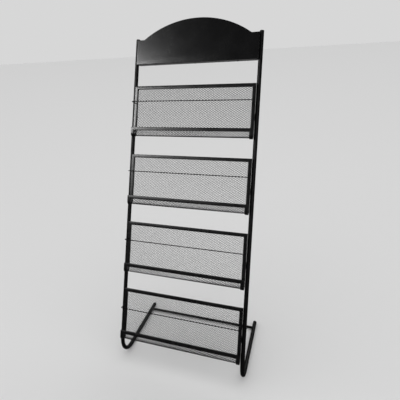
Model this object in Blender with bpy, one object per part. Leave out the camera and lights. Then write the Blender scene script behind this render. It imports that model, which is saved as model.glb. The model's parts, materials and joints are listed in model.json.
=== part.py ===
"""Floor-standing brochure rack: two tubes that lean back, an arched header and four mesh pockets.

Metres, +Z up, -Y towards the viewer, X across the rack.  The rack leans back by LEAN, so most of it
is drawn in a leaning plane: "up" is the distance along the uprights from the point where their centre
line meets the legs' centre line, and "out" is the distance in front of the uprights' centre line.
"""
from math import cos, pi, radians, sin, tan

import bmesh
import bpy
from mathutils import Matrix, Vector
from mathutils.geometry import intersect_line_plane

# ---- driving dimensions -------------------------------------------------------------------------
LEAN = radians(20.0)            # the uprights lean back from the vertical
GAP = 0.0003                    # between two pieces that touch

TUBE_SPACING = 0.600            # between the centre lines of the two uprights
TUBE_R = 0.0095                 # 19 mm tube
TUBE_WALL = 0.0012
BEND_R = 0.080                  # at the floor, to the centre line
UPRIGHT_TOP = 1.599             # end of the tube, without its cap
LEG_END = 0.441                 # end of the leg, without its cap

CAP_DOME = 0.0035               # height of a cap above the tube's end
CAP_RIM_R = TUBE_R
CAP_STEM = 0.014

CROSS_R = 0.0065                # rear crossbar between the legs
CROSS_WALL = 0.001
CROSS_Y = 0.397

BAR_FACE = 0.0155               # the pockets' flat tube, as seen from the front
BAR_DEEP = 0.010
HEADER_BAR = 0.0125             # square tube behind the header's lower edge
BAR_WALL = 0.001
BAR_CORNER = 0.0012

POCKET_COUNT = 4
POCKET_PITCH = 0.332
TOP_RAIL_UP = 1.359             # centre of the highest pocket's top rail
FRAME_HALF = 0.2920             # half of a pocket frame's width, over the tubes
FRAME_OUT = 0.018               # centre of the back frame, in front of the uprights
HOOK_R = 0.0125                 # the side rails turn forwards at the bottom, to the centre line
FRONT_BAR_DROP = 0.2015         # from the top rail down to the front bar
WIRE_DROP = 0.075               # from the top rail down to the retaining wire
LUG_DROP = 0.140                # from the top rail down to the lugs and screws
POCKET_DROP = 0.2405            # from the top rail down to the underside of the pocket

MESH_T = 0.0008
WIRE_R = 0.002
WIRE_HALF = 0.2855
WIRE_OUT = 0.068
WIRE_BEND = 0.010

LUG_HALF_HEIGHT = 0.016
LUG_T = 0.003
LUG_BACK = -0.010
LUG_CORNER = 0.008

SCREW_R = 0.003
SCREW_HEAD_R = 0.0055
POCKET_HEAD_H = 0.003
HEADER_HEAD_H = 0.0012          # low heads, under the header's fold
HOLE_R = SCREW_R + GAP

HEADER_HALF = 0.2945
HEADER_BOTTOM = 1.473
HEADER_SHOULDER = 1.591
HEADER_ARC_HALF = 0.258         # half of the arch's chord
HEADER_RISE = 0.086             # height of the arch above its chord
HEADER_FACE = 0.0195            # front face, in front of the uprights
HEADER_T = 0.0012
HEADER_SIDE_FLANGE = 0.0095
HEADER_LOW_FLANGE = 0.0255      # the bottom edge is folded back under the crossbar
LOW_FLANGE_HALF = 0.288
HEADER_SCREWS_X = (-0.200, 0.0, 0.200)

TUBE_SIDES = 16
FRAME_BACK = FRAME_OUT - BAR_DEEP / 2
FRAME_FRONT = FRAME_OUT + BAR_DEEP / 2
HOOK_FRONT = FRAME_OUT + 2 * HOOK_R
LUG_OUTER = TUBE_SPACING / 2 - TUBE_R - GAP
LUG_INNER = LUG_OUTER - LUG_T
HEADER_BAR_UP = HEADER_BOTTOM + HEADER_T + GAP + HEADER_BAR / 2
COPE_R = (TUBE_R / cos(pi / TUBE_SIDES) + GAP) / cos(pi / TUBE_SIDES)  # clears the faceted tube

# name: (base colour, roughness, metallic)
FINISHES = {
    "black_powder_coat": ((0.012, 0.012, 0.013), 0.42, 0.0),
    "black_header": ((0.010, 0.010, 0.012), 0.25, 0.0),
    "black_mesh": ((0.014, 0.014, 0.015), 0.5, 0.0),
    "black_plastic": ((0.016, 0.016, 0.016), 0.55, 0.0),
    "black_screw": ((0.02, 0.02, 0.02), 0.35, 0.8),
}


# ---- places -------------------------------------------------------------------------------------
def lean_point(x, up, out):
    """World point of a place in the leaning plane."""
    return Vector((x, up * sin(LEAN) - out * cos(LEAN), TUBE_R + up * cos(LEAN) + out * sin(LEAN)))


ALONG_UP = lean_point(0, 1, 0) - lean_point(0, 0, 0)
ALONG_OUT = lean_point(0, 0, 1) - lean_point(0, 0, 0)
ACROSS = Vector((1, 0, 0))


# ---- materials and objects ----------------------------------------------------------------------
def make_materials():
    for name, (colour, roughness, metallic) in FINISHES.items():
        material = bpy.data.materials.new(name)
        material.use_nodes = True
        shader = material.node_tree.nodes["Principled BSDF"]
        shader.inputs["Base Color"].default_value = (*colour, 1)
        shader.inputs["Roughness"].default_value = roughness
        shader.inputs["Metallic"].default_value = metallic


def add_object(name, bm, finish, smooth_angle=radians(40)):
    """Turns a bmesh into a named object of the rack, with its faces outwards."""
    bmesh.ops.recalc_face_normals(bm, faces=bm.faces)
    mesh = bpy.data.meshes.new(name)
    bm.to_mesh(mesh)
    bm.free()
    mesh.materials.append(bpy.data.materials[finish])
    mesh.shade_smooth()
    mesh.set_sharp_from_angle(angle=smooth_angle)
    obj = bpy.data.objects.new(name, mesh)
    bpy.context.scene.collection.objects.link(obj)
    return obj


def cut(obj, cutter):
    """Takes the cutter's shape out of the object."""
    cutter.hide_render = True
    cutter.display_type = "WIRE"
    modifier = obj.modifiers.new("cut_" + cutter.name, "BOOLEAN")
    modifier.operation = "DIFFERENCE"
    modifier.object = cutter


# ---- shapes -------------------------------------------------------------------------------------
def round_section(radius, sides=TUBE_SIDES):
    """Corners of the regular polygon around a circle, as (across, up) pairs; a flat side is lowest."""
    reach = radius / cos(pi / sides)
    angles = [2 * pi * (i + 0.5) / sides for i in range(sides)]
    return [(reach * cos(a), reach * sin(a)) for a in angles]


def bar_section(face, deep, corner):
    """Corners of a rectangle with cut corners, as (face, depth) pairs."""
    a, b = face / 2, deep / 2
    c, d = a - corner, b - corner
    return [(a, -d), (a, d), (c, b), (-c, b), (-a, d), (-a, -d), (-c, -b), (c, -b)]


def carried_rings(section, path, across, start_plane, end_plane):
    """Rings of a section carried along a path with mitred corners.

    The section stands square to the first segment, on the direction across.  Each corner slides along
    each segment until it meets the plane that halves the bend, so the tube keeps its section.
    """
    steps = [(b - a).normalized() for a, b in zip(path, path[1:])]
    planes = [start_plane or steps[0]]
    planes += [(a + b).normalized() for a, b in zip(steps, steps[1:])]
    planes.append(end_plane or steps[-1])
    side = steps[0].cross(across).normalized()
    points = [path[0] + across * u + side * v for u, v in section]
    rings = []
    for i, (centre, plane) in enumerate(zip(path, planes)):
        step = steps[max(i - 1, 0)]
        points = [intersect_line_plane(p, p + step, centre, plane) for p in points]
        rings.append(points)
    return rings


def add_skin(bm, rings):
    """Faces between neighbouring rings; returns the first and the last ring's vertices."""
    rows = [[bm.verts.new(p) for p in ring] for ring in rings]
    for low, high in zip(rows, rows[1:]):
        for i in range(len(low)):
            j = (i + 1) % len(low)
            bm.faces.new((low[i], low[j], high[j], high[i]))
    return rows[0], rows[-1]


def carried(name, section, path, across, finish, bore=None, start_plane=None, end_plane=None):
    """A bar, or with a bore a tube with open ends, along a path."""
    bm = bmesh.new()
    outer_ends = add_skin(bm, carried_rings(section, path, across, start_plane, end_plane))
    if bore is None:
        for ring in outer_ends:
            bm.faces.new(ring)
    else:
        inner_ends = add_skin(bm, carried_rings(bore, path, across, start_plane, end_plane))
        for outer, inner in zip(outer_ends, inner_ends):
            count = len(outer)
            for i in range(count):
                j = (i + 1) % count
                bm.faces.new((outer[i], outer[j], inner[j], inner[i]))
    return add_object(name, bm, finish)


def arc(centre, start, towards, angle, steps):
    """Points that turn about a centre from the offset start towards a direction of equal length."""
    return [centre + start * cos(angle * i / steps) + towards * sin(angle * i / steps)
            for i in range(steps + 1)]


def add_turned(bm, base, axis, outline, sides):
    """A closed turned body: outline is (height, radius) pairs, and radius 0 only at its two ends."""
    side = axis.orthogonal().normalized()
    other = axis.cross(side)
    rings = []
    for height, radius in outline[1:-1]:
        angles = [2 * pi * i / sides for i in range(sides)]
        rings.append([base + axis * height + side * (radius * cos(a)) + other * (radius * sin(a))
                      for a in angles])
    first, last = add_skin(bm, rings)
    for ring, (height, _) in ((first, outline[0]), (last, outline[-1])):
        tip = bm.verts.new(base + axis * height)
        for i in range(sides):
            bm.faces.new((ring[i], ring[(i + 1) % sides], tip))


def cylinder_cutter(name, start, end, radius, sides=TUBE_SIDES):
    bm = bmesh.new()
    axis = (end - start).normalized()
    length = (end - start).length
    add_turned(bm, start, axis, [(0, 0), (0, radius), (length, radius), (length, 0)], sides)
    return add_object(name, bm, "black_screw")


def bar_bore(face, deep):
    return bar_section(face - 2 * BAR_WALL, deep - 2 * BAR_WALL, BAR_CORNER / 2)


# ---- uprights and base --------------------------------------------------------------------------
def pocket_top(tier):
    """Distance up the rack to a pocket's top rail; tier 1 is the highest."""
    return TOP_RAIL_UP - (tier - 1) * POCKET_PITCH


def upright_path(x):
    """Down the upright, round the bend at the floor and back along the leg."""
    turn = pi / 2 + LEAN
    tangent = BEND_R * tan(turn / 2)
    centre = Vector((x, tangent, TUBE_R + BEND_R))
    to_upright = lean_point(x, tangent, 0) - centre
    down_upright = -ALONG_UP * BEND_R
    bend = arc(centre, to_upright, down_upright, turn, 11)
    return [lean_point(x, UPRIGHT_TOP, 0), *bend, Vector((x, LEG_END, TUBE_R))]


def make_upright(side_name, side):
    x = side * TUBE_SPACING / 2
    upright = carried(side_name + "_upright", round_section(TUBE_R), upright_path(x), ACROSS,
                      "black_powder_coat", bore=round_section(TUBE_R - TUBE_WALL))
    for tier in range(1, POCKET_COUNT + 1):
        up = pocket_top(tier) - LUG_DROP
        hole = cylinder_cutter(f"{side_name}_hole_{tier}", lean_point(side * LUG_OUTER, up, 0),
                               lean_point(x, up, 0), HOLE_R, 10)
        cut(upright, hole)
    return upright


def make_cap(name, end, axis):
    """A plastic plug: a stem inside the tube and a low dome on its end."""
    stem_r = TUBE_R - TUBE_WALL - GAP
    outline = [(-CAP_STEM, 0), (-CAP_STEM, stem_r - 0.0008), (-CAP_STEM + 0.001, stem_r), (GAP, stem_r),
               (GAP, CAP_RIM_R), (CAP_DOME * 0.45, CAP_RIM_R), (CAP_DOME * 0.85, CAP_RIM_R * 0.8),
               (CAP_DOME, CAP_RIM_R * 0.4), (CAP_DOME, 0)]
    bm = bmesh.new()
    add_turned(bm, end, axis, outline, TUBE_SIDES)
    add_object(name, bm, "black_plastic")


def make_base():
    half = TUBE_SPACING / 2
    for side_name, side in (("left", -1), ("right", 1)):
        make_upright(side_name, side)
        make_cap(side_name + "_top_cap", lean_point(side * half, UPRIGHT_TOP, 0), ALONG_UP)
        make_cap(side_name + "_leg_cap", Vector((side * half, LEG_END, TUBE_R)), Vector((0, 1, 0)))
    ends = [Vector((side * half, CROSS_Y, TUBE_R)) for side in (-1, 1)]
    crossbar = carried("rear_crossbar", round_section(CROSS_R), ends, Vector((0, 1, 0)),
                       "black_powder_coat", bore=round_section(CROSS_R - CROSS_WALL))
    for side_name, end in zip(("left", "right"), ends):
        reach = Vector((0, 0.03, 0))
        cut(crossbar, cylinder_cutter(side_name + "_leg_cope", end - reach, end + reach, COPE_R))


# ---- one pocket ---------------------------------------------------------------------------------
def hook_path(x, top, front_end):
    """Down the back frame, round the bottom of the pocket and up its front."""
    centre_up = top - POCKET_DROP + HOOK_R + BAR_DEEP / 2
    centre = lean_point(x, centre_up, FRAME_OUT + HOOK_R)
    bottom = arc(centre, -ALONG_OUT * HOOK_R, -ALONG_UP * HOOK_R, pi, 8)
    return [lean_point(x, top, FRAME_OUT), *bottom, lean_point(x, front_end, HOOK_FRONT)]


def make_side_rail(name, side, top):
    """A flat tube bent to a hook, mitred at both ends to meet the top rail and the front bar."""
    x = side * (FRAME_HALF - BAR_FACE / 2)
    inset = GAP * 0.75
    path = hook_path(x, top, top - FRONT_BAR_DROP)
    mitre = (ALONG_UP - ACROSS * side).normalized()
    path[0] -= ALONG_UP * inset
    path[-1] -= ALONG_UP * inset
    carried(name, bar_section(BAR_FACE, BAR_DEEP, BAR_CORNER), path, ACROSS, "black_powder_coat",
            bore=bar_bore(BAR_FACE, BAR_DEEP), start_plane=mitre, end_plane=mitre)


def make_cross_rail(name, up, out):
    """A straight flat tube across the pocket, mitred down at both ends."""
    half = FRAME_HALF - BAR_FACE / 2
    ends = [lean_point(-half, up, out), lean_point(half, up, out)]
    left_mitre = (ACROSS + ALONG_UP).normalized()
    right_mitre = (ACROSS - ALONG_UP).normalized()
    carried(name, bar_section(BAR_FACE, BAR_DEEP, BAR_CORNER), ends, ALONG_UP, "black_powder_coat",
            bore=bar_bore(BAR_FACE, BAR_DEEP), start_plane=left_mitre, end_plane=right_mitre)


def make_mesh_sheet(name, top):
    """The sheet that fills the frame, as one plain bent sheet without its openings."""
    half = FRAME_HALF - BAR_FACE - GAP
    path = hook_path(0, top - BAR_FACE / 2 - GAP, top - FRONT_BAR_DROP - BAR_FACE / 2 - GAP)
    section = [(-half, -MESH_T / 2), (half, -MESH_T / 2), (half, MESH_T / 2), (-half, MESH_T / 2)]
    path[1:-1] = hook_path(0, top, 0)[1:-1]
    carried(name, section, path, ACROSS, "black_mesh")


def make_retaining_wire(name, top):
    """A wire across the front of the pocket, its two ends bent back to the side rails."""
    up = top - WIRE_DROP
    start = FRAME_FRONT + GAP
    bend = ACROSS * WIRE_BEND
    forward = ALONG_OUT * WIRE_BEND
    left = lean_point(-WIRE_HALF + WIRE_BEND, up, WIRE_OUT - WIRE_BEND)
    right = lean_point(WIRE_HALF - WIRE_BEND, up, WIRE_OUT - WIRE_BEND)
    path = [lean_point(-WIRE_HALF, up, start), *arc(left, -bend, forward, pi / 2, 4),
            *arc(right, forward, bend, pi / 2, 4), lean_point(WIRE_HALF, up, start)]
    carried(name, round_section(WIRE_R, 8), path, ALONG_UP, "black_powder_coat")


def make_lug(name, side, up):
    """A flat lug behind the side rail and beside the upright, with a hole for its screw."""
    front = FRAME_BACK - GAP
    h = LUG_HALF_HEIGHT
    corner = LUG_BACK + LUG_CORNER
    outline = [(-h, front), (h, front)]
    for sign in (1, -1):
        for i in range(5):
            angle = pi / 2 * (i / 4 if sign > 0 else 1 - i / 4)
            outline.append((sign * (h - LUG_CORNER + LUG_CORNER * cos(angle)),
                            corner - LUG_CORNER * sin(angle)))
    bm = bmesh.new()
    face = bm.faces.new([bm.verts.new(lean_point(side * LUG_INNER, up + a, out)) for a, out in outline])
    made = bmesh.ops.extrude_face_region(bm, geom=[face])["geom"]
    moved = [v for v in made if isinstance(v, bmesh.types.BMVert)]
    bmesh.ops.translate(bm, verts=moved, vec=ACROSS * side * LUG_T)
    lug = add_object(name, bm, "black_powder_coat")
    hole = cylinder_cutter(name + "_hole", lean_point(side * (LUG_INNER - LUG_T), up, 0),
                           lean_point(side * (LUG_OUTER + LUG_T), up, 0), HOLE_R, 10)
    cut(lug, hole)


def make_screw(name, seat, axis, length, head):
    """A button-head screw: its head stands on seat and its shank runs back along the axis."""
    outline = [(-length, 0), (-length, SCREW_R), (GAP, SCREW_R), (GAP, SCREW_HEAD_R),
               (head * 0.5, SCREW_HEAD_R * 0.95), (head, SCREW_HEAD_R * 0.5), (head, 0)]
    bm = bmesh.new()
    add_turned(bm, seat, axis, outline, 10)
    add_object(name, bm, "black_screw")


def make_pocket(tier):
    prefix = f"pocket_{tier}_"
    top = pocket_top(tier)
    make_cross_rail(prefix + "top_rail", top, FRAME_OUT)
    make_cross_rail(prefix + "front_bar", top - FRONT_BAR_DROP, HOOK_FRONT)
    make_mesh_sheet(prefix + "mesh", top)
    make_retaining_wire(prefix + "retaining_wire", top)
    for side_name, side in (("left", -1), ("right", 1)):
        make_side_rail(f"{prefix}{side_name}_side_rail", side, top)
        make_lug(f"{prefix}{side_name}_lug", side, top - LUG_DROP)
        make_screw(f"{prefix}{side_name}_screw", lean_point(side * LUG_INNER, top - LUG_DROP, 0),
                   -ACROSS * side, 0.014, POCKET_HEAD_H)


# ---- header -------------------------------------------------------------------------------------
def arch_points(steps=24):
    """The arch, a circle through the chord's two ends and the crown, from right to left."""
    radius = (HEADER_ARC_HALF ** 2 + HEADER_RISE ** 2) / (2 * HEADER_RISE)
    points = []
    for i in range(steps + 1):
        x = HEADER_ARC_HALF * (1 - 2 * i / steps)
        drop = radius - (radius ** 2 - x ** 2) ** 0.5
        points.append((x, HEADER_SHOULDER + HEADER_RISE - drop))
    return points


def block_cutter(name, xs, ups, outs):
    """A box in the leaning plane, between two values each of x, up and out."""
    bm = bmesh.new()
    section = [(xs[0], ups[0]), (xs[1], ups[0]), (xs[1], ups[1]), (xs[0], ups[1])]
    add_prism(bm, section, outs)
    return add_object(name, bm, "black_header")


def add_prism(bm, outline, outs):
    """A flat outline of (x, up) points, extruded between two values of out."""
    face = bm.faces.new([bm.verts.new(lean_point(x, up, outs[0])) for x, up in outline])
    made = bmesh.ops.extrude_face_region(bm, geom=[face])["geom"]
    bmesh.ops.translate(bm, verts=[v for v in made if isinstance(v, bmesh.types.BMVert)],
                        vec=ALONG_OUT * (outs[1] - outs[0]))


def make_header_panel():
    """An arched sheet with folded sides, and its bottom edge folded back under the crossbar."""
    h = HEADER_HALF
    low_top = HEADER_BOTTOM + HEADER_T
    sheet_back = HEADER_FACE - HEADER_T
    side_back = HEADER_FACE - HEADER_SIDE_FLANGE
    low_back = HEADER_FACE - HEADER_LOW_FLANGE
    clear = 0.01
    outline = [(-h, HEADER_SHOULDER), (-h, HEADER_BOTTOM), (h, HEADER_BOTTOM), (h, HEADER_SHOULDER)]
    bm = bmesh.new()
    add_prism(bm, outline + arch_points(), (low_back, HEADER_FACE))
    panel = add_object("header_panel", bm, "black_header", radians(25))
    above = (low_top, HEADER_SHOULDER + HEADER_RISE + clear)
    cut(panel, block_cutter("behind_sheet", (HEADER_T - h, h - HEADER_T), above, (low_back - clear, sheet_back)))
    cut(panel, block_cutter("behind_sides", (-h - clear, h + clear), above, (low_back - clear, side_back)))
    for side_name, side in (("left", -1), ("right", 1)):
        ends = sorted((side * LOW_FLANGE_HALF, side * (h + clear)))
        ups = (HEADER_BOTTOM - clear, low_top + clear)
        cut(panel, block_cutter(side_name + "_fold_end", ends, ups, (low_back - clear, side_back)))
    for i, x in enumerate(HEADER_SCREWS_X):
        cut(panel, cylinder_cutter(f"header_hole_{i}", lean_point(x, HEADER_BOTTOM - clear, 0),
                                   lean_point(x, low_top + GAP / 2, 0), HOLE_R, 10))


def make_header():
    half = TUBE_SPACING / 2
    ends = [lean_point(side * half, HEADER_BAR_UP, 0) for side in (-1, 1)]
    crossbar = carried("header_crossbar", bar_section(HEADER_BAR, HEADER_BAR, BAR_CORNER), ends,
                       ALONG_UP, "black_powder_coat", bore=bar_bore(HEADER_BAR, HEADER_BAR))
    for side_name, end in zip(("left", "right"), ends):
        reach = ALONG_UP * 0.03
        cut(crossbar, cylinder_cutter(side_name + "_header_cope", end - reach, end + reach, COPE_R))
    for i, x in enumerate(HEADER_SCREWS_X):
        make_screw(f"header_screw_{i + 1}", lean_point(x, HEADER_BOTTOM, 0), -ALONG_UP, 0.009,
                    HEADER_HEAD_H)
        cut(crossbar, cylinder_cutter(f"crossbar_hole_{i}", lean_point(x, HEADER_BOTTOM, 0),
                                      lean_point(x, HEADER_BAR_UP, 0), HOLE_R, 10))
    make_header_panel()


# ---- assembly -----------------------------------------------------------------------------------
def stand_on_origin():
    """Puts the whole rack under one empty, which centres its footprint on the origin."""
    bpy.context.view_layer.update()
    pieces = [o for o in bpy.data.objects if o.type == "MESH"]
    shown = [o.matrix_world @ Vector(c) for o in pieces if not o.hide_render for c in o.bound_box]
    middle = (min(p.y for p in shown) + max(p.y for p in shown)) / 2
    rack = bpy.data.objects.new("rack", None)
    bpy.context.scene.collection.objects.link(rack)
    for obj in pieces:
        obj.parent = rack
    rack.matrix_world = Matrix.Translation((0, -middle, 0))


def main():
    for obj in list(bpy.data.objects):
        bpy.data.objects.remove(obj)
    make_materials()
    make_base()
    for tier in range(1, POCKET_COUNT + 1):
        make_pocket(tier)
    make_header()
    stand_on_origin()


main()
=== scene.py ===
"""Looks of a floor-standing brochure rack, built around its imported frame.

Every piece is a surface worked out with numpy.  The rack leans back, so most pieces are placed by
"up", the distance along the uprights, and "out", the distance in front of their centre lines.
"""
import json
from math import asin, cos, pi, radians, sin

import bpy
import numpy as np
from mathutils import Matrix, Vector


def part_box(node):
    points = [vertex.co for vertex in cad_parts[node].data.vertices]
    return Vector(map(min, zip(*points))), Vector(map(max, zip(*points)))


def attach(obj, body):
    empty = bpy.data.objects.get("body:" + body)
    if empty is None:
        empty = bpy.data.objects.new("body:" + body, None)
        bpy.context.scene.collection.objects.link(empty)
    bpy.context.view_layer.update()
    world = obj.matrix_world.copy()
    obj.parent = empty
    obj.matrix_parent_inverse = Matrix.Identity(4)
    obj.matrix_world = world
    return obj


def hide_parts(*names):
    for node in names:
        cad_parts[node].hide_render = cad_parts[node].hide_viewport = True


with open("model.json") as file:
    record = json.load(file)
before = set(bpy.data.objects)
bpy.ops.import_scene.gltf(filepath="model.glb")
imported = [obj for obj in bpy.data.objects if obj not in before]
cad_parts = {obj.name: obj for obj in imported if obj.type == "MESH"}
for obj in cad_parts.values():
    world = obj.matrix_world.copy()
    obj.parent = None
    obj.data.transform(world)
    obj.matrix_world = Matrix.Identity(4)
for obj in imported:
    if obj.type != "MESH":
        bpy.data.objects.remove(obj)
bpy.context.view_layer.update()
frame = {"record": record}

# ---- sizes ---------------------------------------------------------------------------------------
TUBE_R = 0.0095
UPRIGHT_TOP = 1.599             # length of the uprights above the corner of their bend
BEND_R = 0.080                  # the uprights' bend at the floor, to the centre line
UPRIGHT_EDGE = 0.0004           # how far the uprights' cut ends are broken
PLUG_RISE = 0.0035              # a plug's height outside its tube
CROSS_R = 0.0065
CROSS_Y = 0.397                 # rear crossbar, behind the uprights' foot
BAR_FACE = 0.0155               # the pockets' flat tube, as seen from the front
BAR_DEEP = 0.010
BAR_ROUND = 0.0016              # radius of its edges
BAR_EDGE = 0.0002               # how far its cut ends are broken
HEADER_BAR = 0.0125             # square tube behind the header's lower edge
HOOK_R = 0.0125                 # the side rails' turn under the pocket, to the centre line
FRAME_OUT = 0.018               # the pockets' back frame, in front of the uprights
POCKET_DROP = 0.2405            # from the top rail's centre to the pocket's underside
FRONT_BAR_DROP = 0.2015
WIRE_DROP = 0.075
LUG_DROP = 0.140
LUG_BACK = -0.010
LUG_HALF_HEIGHT = 0.016
LUG_CORNER = 0.008
LUG_EDGE = 0.0004               # how far its edges are rounded
WIRE_R = 0.002
WIRE_OUT = 0.068                # the retaining wire, in front of the uprights
WIRE_FLAT = 0.00015             # what the frame's flat-sided wire lacks of its radius
SCREW_R = 0.003
SCREW_LENGTH = 0.008
SCREW_HEAD_R = 0.0055
SOCKET_WIDTH = 0.0040
SOCKET_DEPTH = 0.0016
POCKET_HEAD = 0.003             # height of the screws' heads
HEADER_HEAD = 0.0012
WIRE_BEND = 0.010
CROSS_WELD_R = 0.0011           # radii of the weld beads
LUG_WELD_R = 0.0012
WIRE_WELD_R = 0.0008
POCKETS = 4

HEADER_BOTTOM = 1.473
HEADER_SHOULDER = 1.591
HEADER_ARC_HALF = 0.258
HEADER_RISE = 0.086
HEADER_FACE = 0.0195
HEADER_T = 0.0012
HEADER_FOLD_R = 0.0022          # outer radius of the folds
HEADER_SIDE_DEPTH = 0.0095
HEADER_LOW_DEPTH = 0.0255
HEADER_LOW_HALF = 0.288
HEADER_ROWS = 7                 # of points up the face

CELL_LONG = 0.0150              # one diamond of the mesh, across the rack
CELL_SHORT = 0.0080             # one diamond, up the mesh
STRAND_WIDE = 0.00100           # the sheet's gauge, seen edge on from the front
STRAND_DEEP = 0.00190           # the strand's width, which stands across the sheet
STRAND_TILT = radians(15)
SWING = 0.496                   # of the strands' pitch, to either side of the middle

ROUND = 40                      # sides of a round tube
BODY = "root"
SIDES = (("left", -1), ("right", 1))
BACKWARD = np.array((0.0, 1.0, 0.0))

# ---- looks ---------------------------------------------------------------------------------------
DUST_COLOUR = (0.20, 0.19, 0.18)
DUST_ROUGHENS = 0.5             # what a full mask adds to a finish's roughness
RUBBING_POLISHES = 0.12         # what a full mask takes off it
DEEP_SHARE = 0.8                # of a finish's colour, where it drifts darkest
BUMP_DEPTH = 0.0002
STUDIO_TONE = 0.68              # of the floor and of what lies beyond it
FLOOR_ALBEDO = 0.80
FLOOR_REACH = 60
ROOM_REFLECTED = 0.04           # the room's tone in gloss

LIGHTS = (
    # name, where it is, what it faces, its size and its power
    ("left_softbox", (-2.155, -2.17, 2.65), (0.0, 0.0, 1.2), (1.0, 1.3), 85),
    ("low_softbox", (-1.2, -2.55, 2.25), (0.0, 0.0, 1.0), (1.3, 0.8), 3),
    ("right_strip", (1.9, -2.6, 2.2), (0.0, 0.0, 0.9), (0.3, 2.4), 24),
    ("back_softbox", (0.6, 2.4, 3.2), (0.0, 0.0, 0.8), (1.6, 1.2), 40),
    ("rear_floor_card", (0.0, 1.7, 0.03), (0.0, 1.2, 2.0), (3.0, 2.2), 7),
)

CAMERA_PLACE = (0.5203, -1.2397, 1.4788)    # from the uprights' foot line, and above the floor
CAMERA_TURN = radians(-21.06)               # to the left
CAMERA_TIP = radians(19.92)                 # downwards
CAMERA_ROLL = radians(3.93)
CAMERA_LENS = 33.29
CAMERA_SHIFT = (0.0675, -0.051)

# ---- the leaning plane, read from the frame ------------------------------------------------------
MOUNTS = {m["name"]: m for m in frame["record"]["mounts"]}
LEAN = asin(MOUNTS["header_face"]["axis"][2])
ACROSS = np.array((1.0, 0.0, 0.0))
ALONG_UP = np.array((0.0, sin(LEAN), cos(LEAN)))
ALONG_OUT = np.array((0.0, -cos(LEAN), sin(LEAN)))


def box_of(node):
    """Lowest and highest corner of a node of the frame, as arrays."""
    low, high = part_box(node)
    return np.array(low), np.array(high)


def middle_of(node):
    """Centre of a node's box."""
    low, high = box_of(node)
    return (low + high) / 2


HALF_SPACING = middle_of("right_upright")[0]
FOOT = np.array((0.0, middle_of("rear_crossbar")[1] - CROSS_Y, TUBE_R))


def place(x, up, out):
    """World points of places in the leaning plane: foot + x across + up * along + out * forward."""
    x, up, out = np.broadcast_arrays(*(np.asarray(v, float) for v in (x, up, out)))
    return FOOT + x[..., None] * ACROSS + up[..., None] * ALONG_UP + out[..., None] * ALONG_OUT


def up_and_out(point):
    """The inverse of place, without x: how far up and how far out a world point is."""
    rel = np.asarray(point) - FOOT
    return float(rel @ ALONG_UP), float(rel @ ALONG_OUT)


# ---- meshes --------------------------------------------------------------------------------------
def unit(v):
    """A vector or an array of vectors, each divided by its length."""
    v = np.asarray(v, float)
    return v / np.linalg.norm(v, axis=-1, keepdims=True)


def mesh_object(name, points, faces, material, slot, smooth_angle=35):
    """A piece from points (n, 3) and a list of arrays of faces, each array with one face size."""
    points = np.ascontiguousarray(points, np.float32)
    corners = np.concatenate([f.ravel() for f in faces]).astype(np.int32)
    sizes = np.concatenate([np.full(len(f), f.shape[1], np.int32) for f in faces])
    mesh = bpy.data.meshes.new(name)
    mesh.vertices.add(len(points))
    mesh.vertices.foreach_set("co", points.ravel())
    mesh.loops.add(len(corners))
    mesh.loops.foreach_set("vertex_index", corners)
    mesh.polygons.add(len(sizes))
    starts = np.concatenate(([0], np.cumsum(sizes)[:-1])).astype(np.int32)
    mesh.polygons.foreach_set("loop_start", starts)
    mesh.update(calc_edges=True)
    mesh.validate()
    mesh.shade_smooth()
    mesh.set_sharp_from_angle(angle=radians(smooth_angle))
    mesh.materials.append(material)
    piece = bpy.data.objects.new(name, mesh)
    bpy.context.scene.collection.objects.link(piece)
    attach(piece, BODY)
    return piece


def ring_faces(rings, count, start=0):
    """Quads between neighbouring rings of count points: (i, j), (i, j+1), (i+1, j+1), (i+1, j)."""
    i, j = np.meshgrid(np.arange(rings - 1), np.arange(count), indexing="ij")
    here, after = i * count + j, i * count + (j + 1) % count
    return start + np.stack((here, after, after + count, here + count), -1).reshape(-1, 4)


def facing_out(points, faces):
    """A closed body's faces, turned over if its volume, the sum of a . (b x c) / 6, is negative."""
    volume = 0.0
    for f in faces:
        p = points[f]
        for k in range(1, f.shape[1] - 1):
            volume += (p[:, 0] * np.cross(p[:, k], p[:, k + 1])).sum() / 6
    return faces if volume > 0 else [f[:, ::-1] for f in faces]


def closed_rings(rings):
    """Points and faces of a tube of rings (r, n, 3) with both ends closed by one face."""
    r, n = rings.shape[:2]
    points = rings.reshape(-1, 3)
    first = np.arange(n)[::-1][None]
    last = (np.arange(n) + (r - 1) * n)[None]
    return points, facing_out(points, [ring_faces(r, n), first, last])


def joined(parts):
    """Several (points, faces) put in one, their face numbers moved on."""
    points, faces, start = [], [], 0
    for part_points, part_faces in parts:
        points.append(part_points)
        faces += [f + start for f in part_faces]
        start += len(part_points)
    return np.concatenate(points), faces


# ---- sections and paths --------------------------------------------------------------------------
def round_section(radius, sides=ROUND):
    """A circle: (r cos a, r sin a) for angles a evenly round it, half a step from the axis."""
    a = 2 * pi * (np.arange(sides) + 0.5) / sides
    return np.stack((radius * np.cos(a), radius * np.sin(a)), -1)


def bar_section(face, deep, corner, steps=5):
    """A rectangle with round corners: each corner's centre plus r (cos a, sin a) over a quarter."""
    reach = np.array((face, deep)) / 2 - corner
    quarters = []
    for k in range(4):
        a = pi / 2 * (k + np.arange(steps) / (steps - 1))
        centre = reach * (np.sign(cos(pi / 4 + k * pi / 2)), np.sign(sin(pi / 4 + k * pi / 2)))
        quarters.append(centre + corner * np.stack((np.cos(a), np.sin(a)), -1))
    return np.concatenate(quarters)


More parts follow.
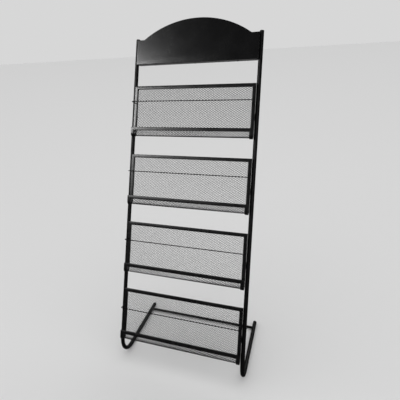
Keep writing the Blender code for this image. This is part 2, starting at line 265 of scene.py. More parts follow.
def filleted(corners, radii, steps=12):
    """A polyline with its inner corners rounded; returns its points and their directions.

    Between directions a and b, at turn t from 0 to the corner's angle f, a point is
    corner - a r tan(f/2) + a r sin t + c r (1 - cos t), where c = (b - a cos f) / sin f.
    """
    corners = np.asarray(corners, float)
    ways = unit(np.diff(corners, axis=0))
    points, directions = [corners[:1]], [ways[:1]]
    for corner, a, b, radius in zip(corners[1:-1], ways, ways[1:], radii):
        turn = np.arccos(np.clip(a @ b, -1, 1))
        c = (b - a * np.cos(turn)) / np.sin(turn)
        t = np.linspace(0, turn, steps + 1)[:, None]
        start = corner - a * radius * np.tan(turn / 2)
        points.append(start + radius * (a * np.sin(t) + c * (1 - np.cos(t))))
        directions.append(a * np.cos(t) + c * np.sin(t))
    points = np.concatenate(points + [corners[-1:]])
    directions = np.concatenate(directions + [ways[-1:]])
    apart = np.linalg.norm(np.diff(points, axis=0), axis=1) > 1e-7
    kept = np.concatenate(([True], apart))
    return points[kept], directions[kept]


def carried(section, path, ways, across, start_plane=None, end_plane=None):
    """Rings of a section along a path: centre + across u + (way x across) v.

    An end with a plane is mitred: each corner slides along the way until it lies in the plane.
    """
    side = np.cross(ways, across)
    rings = path[:, None] + section[None, :, :1] * across + section[None, :, 1:] * side[:, None]
    for index, plane in ((0, start_plane), (-1, end_plane)):
        if plane is not None:
            way = ways[index]
            slide = (path[index] - rings[index]) @ plane / (way @ plane)
            rings[index] += slide[:, None] * way
    return rings


def eased_ends(rings, edge):
    """The first and last ring doubled, edge apart, and the outermost drawn in by as much."""
    def drawn_in(ring):
        return ring - unit(ring - ring.mean(0)) * edge

    head, tail = unit(rings[1] - rings[0]), unit(rings[-2] - rings[-1])
    return np.concatenate((drawn_in(rings[0])[None], (rings[0] + head * edge)[None], rings[1:-1],
                           (rings[-1] + tail * edge)[None], drawn_in(rings[-1])[None]))


def turned(base, axis, profile, sides=ROUND):
    """Rings of a turned body: base + axis h + r (side cos a + other sin a) for each (h, r).

    A radius may be a number or an array with one value for each angle.
    """
    axis = unit(axis)
    side = unit(np.cross(axis, (0.31, 0.57, 0.76)))
    other = np.cross(axis, side)
    a = 2 * pi * np.arange(sides) / sides
    round_it = np.cos(a)[:, None] * side + np.sin(a)[:, None] * other
    return np.stack([base + axis * h + np.broadcast_to(r, sides)[:, None] * round_it
                     for h, r in profile])


# ---- shader groups -------------------------------------------------------------------------------
def new_group(name, inputs, outputs):
    """An empty shader group with float inputs (name, default) and outputs (name, socket type)."""
    group = bpy.data.node_groups.new(name, "ShaderNodeTree")
    for label, value in inputs:
        socket = group.interface.new_socket(label, in_out="INPUT", socket_type="NodeSocketFloat")
        socket.default_value = value
    for label, kind in outputs:
        group.interface.new_socket(label, in_out="OUTPUT", socket_type="NodeSocket" + kind)
    return group, group.nodes.new("NodeGroupInput"), group.nodes.new("NodeGroupOutput")


def noise(tree, scale, detail=2.0, rough=0.5, vector=None):
    """A noise texture on Object coordinates, or on a vector socket."""
    node = tree.nodes.new("ShaderNodeTexNoise")
    node.inputs["Scale"].default_value = scale
    node.inputs["Detail"].default_value = detail
    node.inputs["Roughness"].default_value = rough
    if vector is None:
        vector = tree.nodes.new("ShaderNodeTexCoord").outputs["Object"]
    tree.links.new(vector, node.inputs["Vector"])
    return node.outputs["Fac"]


def maths(tree, operation, a, b=0.0, clamp=False):
    """One Math node of two values or sockets."""
    node = tree.nodes.new("ShaderNodeMath")
    node.operation = operation
    node.use_clamp = clamp
    for socket, value in zip(node.inputs, (a, b)):
        if isinstance(value, bpy.types.NodeSocket):
            tree.links.new(value, socket)
        else:
            socket.default_value = value
    return node.outputs[0]


def spread(tree, value, low, high, to_low, to_high):
    """A Map Range node, clamped."""
    node = tree.nodes.new("ShaderNodeMapRange")
    for label, given in (("Value", value), ("From Min", low), ("From Max", high),
                         ("To Min", to_low), ("To Max", to_high)):
        if isinstance(given, bpy.types.NodeSocket):
            tree.links.new(given, node.inputs[label])
        else:
            node.inputs[label].default_value = given
    return node.outputs["Result"]


def mixed(tree, factor, a, b):
    """A colour mix of two colours or sockets."""
    node = tree.nodes.new("ShaderNodeMix")
    node.data_type = "RGBA"
    tree.links.new(factor, node.inputs["Factor"])
    for label, value in (("A", a), ("B", b)):
        socket = next(s for s in node.inputs if s.name == label and s.type == "RGBA")
        if isinstance(value, bpy.types.NodeSocket):
            tree.links.new(value, socket)
        else:
            socket.default_value = (*value, 1)
    return next(s for s in node.outputs if s.type == "RGBA")


def make_orange_peel():
    """Height of a sprayed and baked coat: broad waves plus a finer stipple."""
    group, given, out = new_group("orange_peel", [("Waves", 1.0), ("Stipple", 1.0)],
                                  [("Height", "Float")])
    waves = maths(group, "MULTIPLY", noise(group, 420.0, 1.5), given.outputs["Waves"])
    stipple = maths(group, "MULTIPLY", noise(group, 1500.0, 2.0), given.outputs["Stipple"])
    group.links.new(maths(group, "ADD", waves, stipple), out.inputs["Height"])
    return group


def make_dust():
    """A mask of fine dust: more on faces that look up, broken by patches and specks."""
    group, given, out = new_group("settled_dust", [("Amount", 0.3), ("Everywhere", 0.1)],
                                  [("Mask", "Float")])
    normal = group.nodes.new("ShaderNodeNewGeometry").outputs["Normal"]
    split = group.nodes.new("ShaderNodeSeparateXYZ")
    group.links.new(normal, split.inputs[0])
    facing = spread(group, split.outputs["Z"], 0.15, 1.0, given.outputs["Everywhere"], 1.0)
    patches = spread(group, noise(group, 26.0, 4.0, 0.6), 0.35, 0.75, 0.35, 1.0)
    specks = spread(group, noise(group, 900.0, 3.0, 0.7), 0.45, 0.75, 0.3, 1.0)
    mask = maths(group, "MULTIPLY", maths(group, "MULTIPLY", facing, patches), specks)
    mask = maths(group, "MULTIPLY", mask, given.outputs["Amount"], True)
    group.links.new(mask, out.inputs["Mask"])
    return group


def make_rubbing():
    """A mask of faint rub marks: thin streaks across the rack, in scattered patches."""
    group, given, out = new_group("rub_marks", [("Amount", 0.3)], [("Mask", "Float")])
    coords = group.nodes.new("ShaderNodeTexCoord").outputs["Object"]
    stretch = group.nodes.new("ShaderNodeMapping")
    stretch.inputs["Scale"].default_value = (0.06, 1.0, 1.0)
    group.links.new(coords, stretch.inputs["Vector"])
    streaks = spread(group, noise(group, 700.0, 3.0, 0.6, stretch.outputs[0]), 0.56, 0.72, 0.0, 1.0)
    patches = spread(group, noise(group, 9.0, 3.0), 0.5, 0.68, 0.0, 1.0)
    mask = maths(group, "MULTIPLY", streaks, patches)
    mask = maths(group, "MULTIPLY", mask, given.outputs["Amount"], True)
    group.links.new(mask, out.inputs["Mask"])
    return group


def place_group(tree, group, **values):
    """A group node in a material, with its own input values."""
    node = tree.nodes.new("ShaderNodeGroup")
    node.node_tree = group
    for label, value in values.items():
        node.inputs[label].default_value = value
    return node


def coat(name, colour, worn_colour, roughness, specular, waves, stipple, bump, dust, rubbing,
         metallic=0.0):
    """A painted or moulded black surface: colour drift, dust, rub marks and a sprayed texture.

    roughness is (lowest, highest) and drifts between them over a few centimetres.
    """
    material = bpy.data.materials.new(name)
    material.use_nodes = True
    tree = material.node_tree
    shader = tree.nodes["Principled BSDF"]
    drift = noise(tree, 14.0, 3.0)
    deep = tuple(DEEP_SHARE * c for c in colour)
    base = mixed(tree, spread(tree, drift, 0.3, 0.7, 0.0, 1.0), deep, colour)
    rubbed = place_group(tree, GROUPS["rub_marks"], Amount=rubbing).outputs["Mask"]
    base = mixed(tree, rubbed, base, worn_colour)
    dusty = place_group(tree, GROUPS["settled_dust"], Amount=dust).outputs["Mask"]
    base = mixed(tree, dusty, base, DUST_COLOUR)
    tree.links.new(base, shader.inputs["Base Color"])
    fine = noise(tree, 260.0, 2.0)
    rough = spread(tree, maths(tree, "ADD", drift, fine), 0.7, 1.3, *roughness)
    rough = maths(tree, "ADD", rough, maths(tree, "MULTIPLY", dusty, DUST_ROUGHENS))
    rough = maths(tree, "SUBTRACT", rough, maths(tree, "MULTIPLY", rubbed, RUBBING_POLISHES), True)
    tree.links.new(rough, shader.inputs["Roughness"])
    peel = place_group(tree, GROUPS["orange_peel"], Waves=waves, Stipple=stipple)
    texture = tree.nodes.new("ShaderNodeBump")
    texture.inputs["Strength"].default_value = bump
    texture.inputs["Distance"].default_value = BUMP_DEPTH
    tree.links.new(peel.outputs["Height"], texture.inputs["Height"])
    tree.links.new(texture.outputs["Normal"], shader.inputs["Normal"])
    shader.inputs["Metallic"].default_value = metallic
    shader.inputs["Specular IOR Level"].default_value = specular
    return material


def make_materials():
    """The rack's finishes, all near black and told apart by gloss and texture; the wire's holds
    painted shade.
    """
    return {
        "frame": coat("satin_powder_coat", (0.0036, 0.0036, 0.0040), (0.013, 0.013, 0.0135),
                      roughness=(0.24, 0.34), specular=0.4, waves=1.0, stipple=0.45, bump=0.45,
                      dust=0.02, rubbing=0.25),
        "tube": coat("tube_powder_coat", (0.0038, 0.0038, 0.0042), (0.013, 0.013, 0.0135),
                     roughness=(0.36, 0.46), specular=0.16, waves=1.0, stipple=0.45, bump=0.5,
                     dust=0.03, rubbing=0.25),
        "header": coat("smooth_header_coat", (0.0032, 0.0032, 0.0038), (0.009, 0.009, 0.010),
                       roughness=(0.22, 0.28), specular=0.42, waves=0.5, stipple=0.1, bump=0.18,
                       dust=0.015, rubbing=0.15),
        "mesh": coat("mesh_powder_coat", (0.0055, 0.0055, 0.006), (0.016, 0.016, 0.0165),
                     roughness=(0.36, 0.5), specular=0.3, waves=1.0, stipple=0.5, bump=0.4,
                     dust=0.04, rubbing=0.2),
        # painted shade: the wire's finish is the frame's powder coat, its colour darkened and its
        # gloss dulled to stand in for shade on the wire
        "wire": coat("wire_painted_shade_coat", (0.0034, 0.0034, 0.0038), (0.012, 0.012, 0.0125),
                     roughness=(0.40, 0.52), specular=0.07, waves=1.0, stipple=0.45, bump=0.5,
                     dust=0.02, rubbing=0.2),
        "plug": coat("moulded_plug_plastic", (0.012, 0.012, 0.0125), (0.03, 0.03, 0.03),
                     roughness=(0.46, 0.6), specular=0.4, waves=0.3, stipple=1.0, bump=0.5,
                     dust=0.16, rubbing=0.3),
        "screw": coat("blackened_screw_steel", (0.03, 0.03, 0.032), (0.10, 0.10, 0.10),
                      roughness=(0.28, 0.4), specular=0.5, waves=0.2, stipple=0.8, bump=0.3,
                      dust=0.06, rubbing=0.5, metallic=0.75),
    }


GROUPS = {
    "orange_peel": make_orange_peel(),
    "settled_dust": make_dust(),
    "rub_marks": make_rubbing(),
}
FINISH = make_materials()


# ---- uprights, crossbar and plugs ----------------------------------------------------------------
def make_upright(side_name, side):
    """A round tube down the upright, through a fillet of BEND_R at the floor and along the leg."""
    node = side_name + "_upright"
    x = side * HALF_SPACING
    corners = [place(x, UPRIGHT_TOP, 0), place(x, 0, 0), leg_end(side_name, side)]
    path, ways = filleted(corners, [BEND_R], 48)
    rings = eased_ends(carried(round_section(TUBE_R), path, ways, ACROSS), UPRIGHT_EDGE)
    piece = mesh_object(node + "_tube", *closed_rings(rings), FINISH["tube"], "black_powder_coat")
    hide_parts(node)


def leg_end(side_name, side):
    """Centre of the leg's rear end, which the plug covers by its rise."""
    return np.array((side * HALF_SPACING, box_of(side_name + "_leg_cap")[1][1] - PLUG_RISE, TUBE_R))


def make_plug(name, end, axis):
    """A moulded plug: a neck in the tube, a rim flush with it and a low dome on top.

    The dome is r = R cos(t)^0.6 at height rim + (rise - rim) sin t, over a quarter turn.
    """
    rim, neck = 0.0012, TUBE_R - 0.0016
    t = np.linspace(0, pi / 2, 14)[:-1]
    dome = [(rim + (PLUG_RISE - rim) * sin(a), TUBE_R * cos(a) ** 0.6) for a in t]
    profile = [(-0.002, neck), (0.0003, neck), (0.0003, TUBE_R - 0.0003), (0.0006, TUBE_R), *dome,
               (PLUG_RISE, 0.0004)]
    piece = mesh_object(name + "_plug", *closed_rings(turned(end, axis, profile)), FINISH["plug"],
                        "black_plastic", 50)
    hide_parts(name)


def coped_tube(section, start, end, across, saddle_r):
    """A straight tube whose ends are cut to sit on two round tubes that run along across.

    A corner that is h away from the saddle's axis ends sqrt(R^2 - h^2) short of that axis.
    """
    way = unit(end - start)
    side = np.cross(way, across)
    height = section[:, 1]
    short = np.sqrt(saddle_r ** 2 - height ** 2)
    offset = section[:, :1] * across + height[:, None] * side
    return np.stack((start + offset + short[:, None] * way, end + offset - short[:, None] * way))


def weld_bead(loop, radius, closed=True, ripple=0.0011, sides=8):
    """A lumpy weld bead along a line: a circle of radius R (0.86 + 0.2 |sin(pi s / ripple)|).

    s is the distance along the line.  The ends of an open bead taper over three points.
    """
    loop = np.asarray(loop, float)
    if closed:
        ways = unit(np.roll(loop, -1, 0) - np.roll(loop, 1, 0))
    else:
        ways = unit(np.gradient(loop, axis=0))
    steps = np.linalg.norm(np.diff(loop, axis=0, prepend=loop[:1]), axis=1)
    swell = 0.86 + 0.2 * np.abs(np.sin(pi * np.cumsum(steps) / ripple))
    side = unit(np.cross(ways, (0.23, 0.91, 0.35)))
    other = np.cross(ways, side)
    a = 2 * pi * np.arange(sides) / sides
    circle = np.cos(a)[:, None] * side[:, None] + np.sin(a)[:, None] * other[:, None]
    if not closed:
        fade = np.clip(np.minimum(np.arange(len(loop)), np.arange(len(loop))[::-1]) / 3, 0.25, 1)
        swell = swell * fade
    rings = loop[:, None] + circle * (radius * swell)[:, None, None]
    if closed:
        points = rings.reshape(-1, 3)
        faces = ring_faces(len(loop) + 1, sides) % len(points)
        return points, facing_out(points, [faces])
    return closed_rings(rings)


def saddle_loop(centre, way, across, radius, saddle_r, steps=60):
    """The line where a tube of radius meets a round tube: its end ring, slid onto the saddle."""
    section = round_section(radius, steps)
    side = np.cross(way, across)
    short = np.sqrt(saddle_r ** 2 - section[:, 1] ** 2)
    return centre + section[:, :1] * across + section[:, 1:] * side + short[:, None] * way


def make_base():
    """Both uprights with their plugs, and the crossbar welded between the legs."""
    for side_name, side in SIDES:
        make_upright(side_name, side)
        make_plug(side_name + "_top_cap", place(side * HALF_SPACING, UPRIGHT_TOP, 0), ALONG_UP)
        make_plug(side_name + "_leg_cap", leg_end(side_name, side), BACKWARD)
    left = np.array((-HALF_SPACING, middle_of("rear_crossbar")[1], TUBE_R))
    right = left * (-1, 1, 1)
    bar = coped_tube(round_section(CROSS_R), left, right, BACKWARD, TUBE_R)
    piece = mesh_object("rear_crossbar_tube", *closed_rings(bar), FINISH["tube"],
                        "black_powder_coat", 50)
    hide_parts("rear_crossbar")
    beads = [weld_bead(saddle_loop(end, way, BACKWARD, CROSS_R, TUBE_R), CROSS_WELD_R)
             for end, way in ((left, ACROSS), (right, -ACROSS))]
    mesh_object("rear_crossbar_welds", *joined(beads), FINISH["frame"], "black_powder_coat", 60)


# ---- pockets -------------------------------------------------------------------------------------
def hook_corners(x, top, front_up):
    """Corners of the hook: down the back frame, forward under the pocket, up to the front bar."""
    low = top - POCKET_DROP + BAR_DEEP / 2
    front = FRAME_OUT + 2 * HOOK_R
    return [place(x, up, out)
            for up, out in ((top, FRAME_OUT), (low, FRAME_OUT), (low, front), (front_up, front))]


def make_side_rail(node, side, top):
    """A flat tube on the hook's path, mitred at 45 degrees under the top rail and the front bar."""
    x = middle_of(node)[0]
    path, ways = filleted(hook_corners(x, top, top - FRONT_BAR_DROP), [HOOK_R, HOOK_R], 14)
    mitre = unit(ALONG_UP - ACROSS * side)
    rings = carried(bar_section(BAR_FACE, BAR_DEEP, BAR_ROUND), path, ways, ACROSS, mitre, mitre)
    rings = eased_ends(rings, BAR_EDGE)
    piece = mesh_object(node + "_tube", *closed_rings(rings), FINISH["frame"],
                        "black_powder_coat", 30)
    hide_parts(node)


def make_cross_rail(node):
    """A straight flat tube across the pocket, mitred at both ends onto the side rails."""
    middle = middle_of(node)
    half = box_of(node)[1][0] - BAR_FACE / 2
    path = np.array([middle - half * ACROSS, middle + half * ACROSS])
    ways = np.array([ACROSS, ACROSS])
    rings = carried(bar_section(BAR_FACE, BAR_DEEP, BAR_ROUND), path, ways, ALONG_UP,
                    unit(ACROSS + ALONG_UP), unit(ACROSS - ALONG_UP))
    rings = eased_ends(rings, BAR_EDGE)
    piece = mesh_object(node + "_tube", *closed_rings(rings), FINISH["frame"],
                        "black_powder_coat", 30)
    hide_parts(node)


def hook_surface(top, v):
    """Places on the mesh by distance v down it: straight, a half turn of HOOK_R, straight again.

    Returns up, out and the direction (up, out) of the face's normal, which looks into the pocket.
    """
    turn_up = top - POCKET_DROP + BAR_DEEP / 2 + HOOK_R
    straight = top - turn_up
    angle = np.clip((v - straight) / HOOK_R, 0, pi)
    past = np.maximum(v - straight - pi * HOOK_R, 0)
    up = np.where(v < straight, top - v, turn_up - HOOK_R * np.sin(angle) + past)
    out = FRAME_OUT + HOOK_R * (1 - np.cos(angle))
    return up, out, np.sin(angle), np.cos(angle)


def make_mesh(node, top):
    """Expanded metal: zigzag strands side by side, which meet at their peaks to leave diamonds.

    Strand k runs at distance v = (k + 1/2) s/2 down the mesh, and its points swing just under s/4
    to either side, in turn with its neighbours', where s is the diamond's short width, so that two
    strands overlap where they meet.  Its section is a flat bar, tilted a little out of the sheet,
    as the slitting and stretching leave it.
    """
    half = box_of(node)[1][0]
    start = BAR_FACE / 2
    length = POCKET_DROP - BAR_DEEP / 2 - HOOK_R - start + pi * HOOK_R + up_past_turn()
    count = int(round(length / (CELL_SHORT / 2)))
    pitch = length / count
    steps = 2 * int(round(2 * half / CELL_LONG))
    x = np.linspace(-half, half, steps + 1)
    k = np.arange(count)[:, None]
    swing = np.where((np.arange(steps + 1)[None] + k) % 2 == 0, SWING, -SWING) * pitch
    v = start + (k + 0.5) * pitch + swing
    c, s = cos(STRAND_TILT), sin(STRAND_TILT)
    wide, thick = STRAND_WIDE / 2, STRAND_DEEP / 2
    corners = np.array([(-wide, -thick), (wide, -thick), (wide, thick), (-wide, thick)])
    corners = corners @ np.array(((c, s), (-s, c)))
    up, out, n_up, n_out = hook_surface(top, v[..., None] + corners[:, 0])
    up = up + n_up * corners[:, 1]
    out = out + n_out * corners[:, 1]
    points = place(x[None, :, None], up, out)
    per_strand = (steps + 1) * 4
    quads = ring_faces(steps + 1, 4)
    ends = np.array([[3, 2, 1, 0], np.arange(4) + steps * 4])
    faces = np.concatenate((quads, ends))
    faces = (faces[None] + (np.arange(count) * per_strand)[:, None, None]).reshape(-1, 4)
    points = points.reshape(-1, 3)
    piece = mesh_object(node + "_strands", points, facing_out(points, [faces]), FINISH["mesh"],
                        "black_mesh", 20)
    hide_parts(node)


def up_past_turn():
    """Length of the mesh's front, from the end of its turn up to the front bar's underside."""
    return POCKET_DROP - BAR_DEEP / 2 - HOOK_R - FRONT_BAR_DROP - BAR_FACE / 2


def make_wire(node, top):
    """A round wire across the pocket, its ends turned back to the side rails; returns its welds."""
    half = box_of(node)[1][0] - WIRE_R + WIRE_FLAT
    up = top - WIRE_DROP
    start = FRAME_OUT + BAR_DEEP / 2
    corners = [place(x, up, out) for x, out in ((-half, start), (-half, WIRE_OUT), (half, WIRE_OUT),
                                                (half, start))]
    path, ways = filleted(corners, [WIRE_BEND, WIRE_BEND], 12)
    rings = carried(round_section(WIRE_R, 16), path, ways, ALONG_UP)
    piece = mesh_object(node + "_rod", *closed_rings(rings), FINISH["wire"],
                        "black_powder_coat", 50)
    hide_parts(node)
    a = np.linspace(0, 2 * pi, 24, endpoint=False)
    circle = (WIRE_R + 0.0002) * (np.cos(a)[:, None] * ACROSS + np.sin(a)[:, None] * ALONG_UP)
    ends = [place(side * half, up, start + 0.0003) for _, side in SIDES]
    return [weld_bead(end + circle, WIRE_WELD_R) for end in ends]


def rounded_plate(outline, normals, base, depth_way, depth, ease):
    """Rings of a plate with eased edges: drawn in by e (1 - sin t) at depth e (1 - cos t)."""
    t = np.linspace(0, pi / 2, 5)
    near = [(ease * (1 - sin(a)), ease * (1 - cos(a))) for a in t]
    stations = near + [(inset, depth - z) for inset, z in near[::-1]]
    return np.stack([base + outline - normals * inset + depth_way * z for inset, z in stations])


def lug_outline(half_height, back, front, corner, steps=9):
    """The lug's outline round its middle and its outward directions: two round rear corners.

    A rear corner's point is its centre plus corner (sin t, -cos t) in up and out.
    """
    t = np.linspace(0, pi / 2, steps)
    centre = np.array((half_height - corner, back + corner))
    upper = centre + corner * np.stack((np.sin(t), -np.cos(t)), -1)
    front_corners = [(half_height, front), (-half_height, front)]
    flat = np.concatenate((upper, front_corners, upper[::-1] * (-1, 1)))
    along = unit(np.roll(flat, -1, 0) - np.roll(flat, 1, 0))
    outward = np.stack((-along[:, 1], along[:, 0]), -1)
    outward *= np.sign((outward * (flat - flat.mean(0))).sum(1, keepdims=True))
    points = flat[:, :1] * ALONG_UP + flat[:, 1:] * ALONG_OUT
    return points, outward[:, :1] * ALONG_UP + outward[:, 1:] * ALONG_OUT


def make_lug(node, side, top):
    """A flat lug between the side rail and the upright; returns its weld to the rail."""
    low, high = box_of(node)
    inner, outer = sorted((low[0], high[0]), key=abs)
    outline, normals = lug_outline(LUG_HALF_HEIGHT, LUG_BACK, FRAME_OUT - BAR_DEEP / 2, LUG_CORNER)
    base = place(inner, top - LUG_DROP, 0)
    rings = rounded_plate(outline, normals, base, ACROSS * side, abs(outer - inner), LUG_EDGE)
    piece = mesh_object(node + "_plate", *closed_rings(rings), FINISH["frame"],
                        "black_powder_coat", 40)
    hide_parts(node)
    ups = top - LUG_DROP + np.linspace(-1, 1, 48) * (LUG_HALF_HEIGHT - 0.0015)
    return weld_bead(place(inner, ups, FRAME_OUT - BAR_DEEP / 2 - 0.0004), LUG_WELD_R, closed=False)


def screw_profile(head_height, sides=48):
    """(height, radius) pairs of a button-head screw, from its shank's tip to its socket's floor.

    The head's rim rises a quarter of its height, and its dome is r = R (1 - 0.42 t^2.4) at
    height rim + (head - rim) sin(pi t / 2).  The socket's radius at angle a is that of a hexagon:
    half its width over cos(a), with a taken from the middle of the nearest flat.
    """
    a = 2 * pi * np.arange(sides) / sides
    socket = SOCKET_WIDTH / 2 / np.cos((a + pi / 6) % (pi / 3) - pi / 6)
    rim = head_height / 4
    floor = head_height - SOCKET_DEPTH
    dome = [(rim + (head_height - rim) * sin(t * pi / 2), SCREW_HEAD_R * (1 - 0.42 * t ** 2.4))
            for t in np.linspace(0, 1, 8)]
    return [(-SCREW_LENGTH, SCREW_R * 0.85), (0.0005 - SCREW_LENGTH, SCREW_R), (0, SCREW_R),
            (0, SCREW_HEAD_R - 0.0002), (0.0002, SCREW_HEAD_R), *dome,
            (head_height, socket + 0.0003), (head_height - 0.0002, socket),
            (floor + 0.0002, socket), (floor, 0.0004)]


def make_screw(node, seat, axis, head_height):
    """A screw seated on a face, its head standing head_height along the axis."""
    rings = turned(seat, axis, screw_profile(head_height), 48)
    piece = mesh_object(node + "_bolt", *closed_rings(rings), FINISH["screw"], "black_screw", 30)
    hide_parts(node)


def make_pocket(number):
    """One pocket: its four bars, mesh and wire, and a lug with its screw on either side."""
    prefix = f"pocket_{number}_"
    top = up_and_out(middle_of(prefix + "top_rail"))[0]
    make_cross_rail(prefix + "top_rail")
    make_cross_rail(prefix + "front_bar")
    make_mesh(prefix + "mesh", top)
    beads = make_wire(prefix + "retaining_wire", top)
    for side_name, side in SIDES:
        make_side_rail(f"{prefix}{side_name}_side_rail", side, top)
        beads.append(make_lug(f"{prefix}{side_name}_lug", side, top))
        inner = min(abs(corner[0]) for corner in box_of(f"{prefix}{side_name}_lug"))
        seat = place(side * inner, top - LUG_DROP, 0)
        make_screw(f"{prefix}{side_name}_screw", seat, -ACROSS * side, POCKET_HEAD)
    mesh_object(prefix + "welds", *joined(beads), FINISH["frame"], "black_powder_coat", 60)


# ---- header --------------------------------------------------------------------------------------
def header_top(x):
    """Height of the header's upper edge: flat shoulders, and between them a circle's arc.

    The arc's radius is (c^2 + h^2) / 2h for half chord c and rise h; at x it is
    sqrt(R^2 - x^2) - (R - h) above the shoulders.
    """
    radius = (HEADER_ARC_HALF ** 2 + HEADER_RISE ** 2) / (2 * HEADER_RISE)
    inside = np.clip(np.abs(x), 0, HEADER_ARC_HALF)
    return HEADER_SHOULDER + np.sqrt(radius ** 2 - inside ** 2) - (radius - HEADER_RISE)


def fold_line(edge, face, depth, radius, steps=8):
    """A sheet's folded edge as (along, out) pairs, from the flange's rim round to the face.

    With F the fold's outer radius and r this surface's own, the quarter turn is
    (edge - F + r cos t, face - F + r sin t).
    """
    t = np.linspace(0, pi / 2, steps)
    centre = np.array((edge, face)) - HEADER_FOLD_R
    turn = centre + radius * np.stack((np.cos(t), np.sin(t)), -1)
    rim = np.array([(centre[0] + radius, face - depth)])
    return np.concatenate((rim, turn))


def header_grid(half, thin):
    """Points of one face of the sheet, rows up and columns across; thin is how far inside it lies."""
    side = fold_line(half, HEADER_FACE, HEADER_SIDE_DEPTH, HEADER_FOLD_R - thin)
    low = fold_line(0.0, HEADER_FACE, HEADER_LOW_DEPTH, HEADER_FOLD_R - thin)
    plain = np.concatenate(([-HEADER_LOW_HALF], np.linspace(-HEADER_ARC_HALF, HEADER_ARC_HALF, 97),
                            [HEADER_LOW_HALF]))
    x = np.concatenate((-side[:, 0], plain, side[::-1, 0]))
    flat = np.full(len(plain), HEADER_FACE - thin)
    column_out = np.concatenate((side[:, 1], flat, side[::-1, 1]))
    in_fold = np.abs(x) <= HEADER_LOW_HALF + 1e-6
    low_up = HEADER_BOTTOM - low[:, 0]
    share = np.linspace(0, 1, HEADER_ROWS)[1:, None]
    start = np.where(in_fold, low_up[-1], HEADER_BOTTOM)
    face_up = start + share * (header_top(x) - start)
    up = np.concatenate((np.repeat(low_up[:, None], len(x), 1), face_up))
    up[len(low) - 1] = start
    out = np.repeat(column_out[None], len(up), 0)
    out[:len(low)] = np.where(in_fold, low[:, 1:2], column_out)
    mask = np.ones((len(up) - 1, len(x) - 1), bool)
    mask[:len(low) - 1] = in_fold[1:] & in_fold[:-1]
    return place(x[None], up, out), mask


def sheet_shell(outer, inner, mask):
    """A closed sheet from two matching grids: faces where the mask says, and a rim round them."""
    rows, cols = outer.shape[:2]
    i, j = np.nonzero(mask)
    here = i * cols + j
    quads = np.stack((here, here + 1, here + cols + 1, here + cols), -1)
    shift = rows * cols
    edges = np.concatenate([quads[:, [a, (a + 1) % 4]] for a in range(4)])
    keys = np.sort(edges, 1) @ np.array((shift, 1))
    _, first, count = np.unique(keys, return_index=True, return_counts=True)
    rim = edges[first[count == 1]]
    sides = np.stack((rim[:, 1], rim[:, 0], rim[:, 0] + shift, rim[:, 1] + shift), -1)
    points = np.concatenate((outer.reshape(-1, 3), inner.reshape(-1, 3)))
    return points, [quads, quads[:, ::-1] + shift, sides]


def make_header():
    """The arched sheet, the square tube behind its lower edge and the screws up into that tube."""
    half = box_of("header_panel")[1][0]
    outer, mask = header_grid(half, 0.0)
    inner, _ = header_grid(half, HEADER_T)
    points, faces = sheet_shell(outer, inner, mask)
    used = np.unique(np.concatenate([f.ravel() for f in faces]))
    renumber = np.zeros(len(points), int)
    renumber[used] = np.arange(len(used))
    piece = mesh_object("header_panel_sheet", points[used], [renumber[f] for f in faces],
                        FINISH["header"], "black_header", 30)
    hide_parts("header_panel")
    up = up_and_out(middle_of("header_crossbar"))[0]
    left, right = place(-HALF_SPACING, up, 0), place(HALF_SPACING, up, 0)
    section = bar_section(HEADER_BAR, HEADER_BAR, BAR_ROUND)[:, ::-1]
    bar = coped_tube(section, left, right, ALONG_UP, TUBE_R)
    piece = mesh_object("header_crossbar_tube", *closed_rings(bar), FINISH["frame"],
                        "black_powder_coat", 30)
    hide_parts("header_crossbar")
    for number in (1, 2, 3):
        node = f"header_screw_{number}"
        make_screw(node, place(middle_of(node)[0], HEADER_BOTTOM, 0), -ALONG_UP, HEADER_HEAD)


# ---- stage ---------------------------------------------------------------------------------------
def plain_material(name, colour, roughness):
    """An even surface of one colour and one roughness."""
    material = bpy.data.materials.new(name)
    material.use_nodes = True
    shader = material.node_tree.nodes["Principled BSDF"]
    shader.inputs["Base Color"].default_value = (*colour, 1)
    shader.inputs["Roughness"].default_value = roughness
    return material


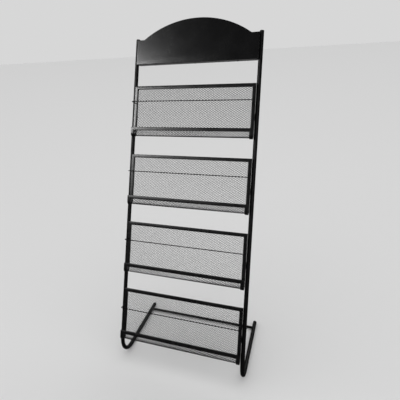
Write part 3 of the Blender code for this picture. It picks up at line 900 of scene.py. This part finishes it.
def make_stage():
    """A pale floor without an edge in sight, in a room as pale, which gloss sees as a dim one."""
    corners = [(x * FLOOR_REACH, y * FLOOR_REACH, 0)
               for x, y in ((-1, -1), (1, -1), (1, 1), (-1, 1))]
    mesh = bpy.data.meshes.new("studio_floor")
    mesh.from_pydata(corners, [], [(0, 1, 2, 3)])
    mesh.materials.append(plain_material("pale_floor", (FLOOR_ALBEDO,) * 3, 1.0))
    floor = bpy.data.objects.new("studio_floor", mesh)
    bpy.context.scene.collection.objects.link(floor)
    floor.visible_glossy = False
    world = bpy.data.worlds.new("studio")
    bpy.context.scene.world = world
    world.use_nodes = True
    world.cycles.sampling_method = "NONE"
    tree = world.node_tree
    path = tree.nodes.new("ShaderNodeLightPath").outputs
    lit = spread(tree, path["Is Glossy Ray"], 0, 1, STUDIO_TONE / FLOOR_ALBEDO, ROOM_REFLECTED)
    tone = spread(tree, path["Is Camera Ray"], 0, 1, lit, STUDIO_TONE)
    tree.links.new(tone, tree.nodes["Background"].inputs["Color"])


def add_area_light(name, location, target, size, power):
    """A softbox that shows in gloss and leaves the floor's tone alone."""
    light = bpy.data.lights.new(name, "AREA")
    light.shape = "RECTANGLE"
    light.size, light.size_y = size
    light.energy = power
    lamp = bpy.data.objects.new(name, light)
    lamp.location = location
    lamp.rotation_euler = (Vector(target) - Vector(location)).to_track_quat("-Z", "Y").to_euler()
    lamp.visible_diffuse = False
    lamp.visible_camera = False
    bpy.context.scene.collection.objects.link(lamp)


def make_camera():
    """A camera at the right, at the height of the header, looking down and to the left."""
    turn, tip, roll = CAMERA_TURN, CAMERA_TIP, CAMERA_ROLL
    forward = np.array((sin(turn) * cos(tip), cos(turn) * cos(tip), -sin(tip)))
    right = np.array((cos(turn), -sin(turn), 0.0))
    down = np.cross(forward, right)
    right, down = right * cos(roll) + down * sin(roll), down * cos(roll) - right * sin(roll)
    camera = bpy.data.objects.new("camera", bpy.data.cameras.new("camera"))
    turned_to = Matrix(np.stack((right, -down, -forward), 1).tolist()).to_4x4()
    x, y, z = CAMERA_PLACE
    camera.matrix_world = Matrix.Translation((x, FOOT[1] + y, z)) @ turned_to
    camera.data.sensor_width = 36
    camera.data.lens = CAMERA_LENS
    camera.data.shift_x, camera.data.shift_y = CAMERA_SHIFT
    bpy.context.scene.collection.objects.link(camera)
    bpy.context.scene.camera = camera


def main():
    """The rack, then its studio."""
    make_base()
    for number in range(1, POCKETS + 1):
        make_pocket(number)
    make_header()
    make_stage()
    for light in LIGHTS:
        add_area_light(*light)
    make_camera()
    bpy.context.scene.view_settings.view_transform = "Standard"


main()
